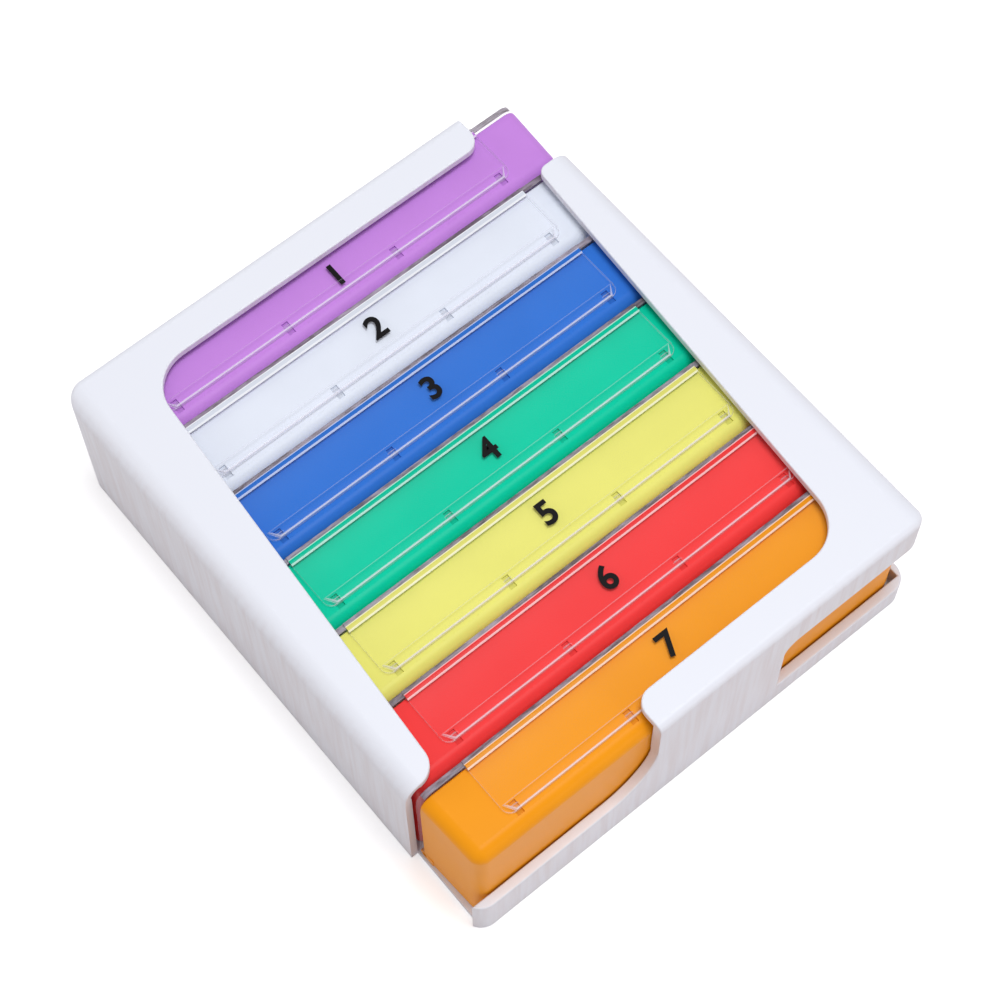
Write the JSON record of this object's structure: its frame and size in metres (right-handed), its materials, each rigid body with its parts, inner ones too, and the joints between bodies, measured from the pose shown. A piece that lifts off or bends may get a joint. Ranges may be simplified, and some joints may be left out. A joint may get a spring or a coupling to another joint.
{
  "type": "weekly pill drawer organizer",
  "caption": "Flat open-fronted case holding a stack of removable coloured drawers with clear hinged lids, for sorting pills by the day.",
  "frame": {"origin": "centre of the case on the back face that it lies on", "axes": "+X along the drawers, towards the loading side; +Y up the stack; +Z out of the window"},
  "size_m": [0.134, 0.1526, 0.044],
  "materials": {
    "case_white": "moulded, semi-gloss",
    "tray_orange": "moulded, semi-gloss",
    "tray_red": "moulded, semi-gloss",
    "tray_yellow": "moulded, semi-gloss",
    "tray_green": "moulded, semi-gloss",
    "tray_blue": "moulded, semi-gloss",
    "tray_white": "moulded, semi-gloss",
    "tray_violet": "moulded, semi-gloss",
    "lid_clear": "clear, polished"
  },
  "bodies": {
    "case": {"case_shell": "case_white", "back_panel": "case_white"},
    "orange_drawer": {"orange_tray": "tray_orange"},
    "orange_cover": {"orange_lid": "lid_clear"},
    "red_drawer": {"red_tray": "tray_red"},
    "red_cover": {"red_lid": "lid_clear"},
    "yellow_drawer": {"yellow_tray": "tray_yellow"},
    "yellow_cover": {"yellow_lid": "lid_clear"},
    "green_drawer": {"green_tray": "tray_green"},
    "green_cover": {"green_lid": "lid_clear"},
    "blue_drawer": {"blue_tray": "tray_blue"},
    "blue_cover": {"blue_lid": "lid_clear"},
    "white_drawer": {"white_tray": "tray_white"},
    "white_cover": {"white_lid": "lid_clear"},
    "violet_drawer": {"violet_tray": "tray_violet"},
    "violet_cover": {"violet_lid": "lid_clear"}
  },
  "joints": [
    {"name": "orange_slide", "type": "slide", "parent": "case", "child": "orange_drawer", "axis": [-1, 0, 0], "range_m": [0, 0.132]},
    {"name": "red_float", "type": "slide", "parent": "case", "child": "red_drawer", "axis": [1, 0, 0], "range_m": [-0.0003, 0.0003]},
    {"name": "yellow_float", "type": "slide", "parent": "case", "child": "yellow_drawer", "axis": [1, 0, 0], "range_m": [-0.0003, 0.0003]},
    {"name": "green_float", "type": "slide", "parent": "case", "child": "green_drawer", "axis": [1, 0, 0], "range_m": [-0.0003, 0.0003]},
    {"name": "blue_float", "type": "slide", "parent": "case", "child": "blue_drawer", "axis": [1, 0, 0], "range_m": [-0.0003, 0.0003]},
    {"name": "white_float", "type": "slide", "parent": "case", "child": "white_drawer", "axis": [1, 0, 0], "range_m": [-0.0003, 0.0003]},
    {"name": "violet_slide", "type": "slide", "parent": "case", "child": "violet_drawer", "axis": [1, 0, 0], "range_m": [-0.0018, 0.13]},
    {"name": "orange_lid_hinge", "type": "hinge", "parent": "orange_drawer", "child": "orange_cover", "pos_m": [0, -0.05435, 0.0034], "axis": [-1, 0, 0], "range_deg": [0, 0.5]},
    {"name": "red_lid_hinge", "type": "hinge", "parent": "red_drawer", "child": "red_cover", "pos_m": [0, -0.03335, 0.0034], "axis": [-1, 0, 0], "range_deg": [0, 0.5]},
    {"name": "yellow_lid_hinge", "type": "hinge", "parent": "yellow_drawer", "child": "yellow_cover", "pos_m": [0, -0.01235, 0.0034], "axis": [-1, 0, 0], "range_deg": [0, 0.5]},
    {"name": "green_lid_hinge", "type": "hinge", "parent": "green_drawer", "child": "green_cover", "pos_m": [0, 0.00865, 0.0034], "axis": [-1, 0, 0], "range_deg": [0, 0.5]},
    {"name": "blue_lid_hinge", "type": "hinge", "parent": "blue_drawer", "child": "blue_cover", "pos_m": [0, 0.02965, 0.0034], "axis": [-1, 0, 0], "range_deg": [0, 0.5]},
    {"name": "white_lid_hinge", "type": "hinge", "parent": "white_drawer", "child": "white_cover", "pos_m": [0, 0.05065, 0.0034], "axis": [-1, 0, 0], "range_deg": [0, 0.5]},
    {"name": "violet_lid_hinge", "type": "hinge", "parent": "violet_drawer", "child": "violet_cover", "pos_m": [0.0015, 0.07165, 0.0034], "axis": [-1, 0, 0], "range_deg": [0, 0.5]}
  ]
}
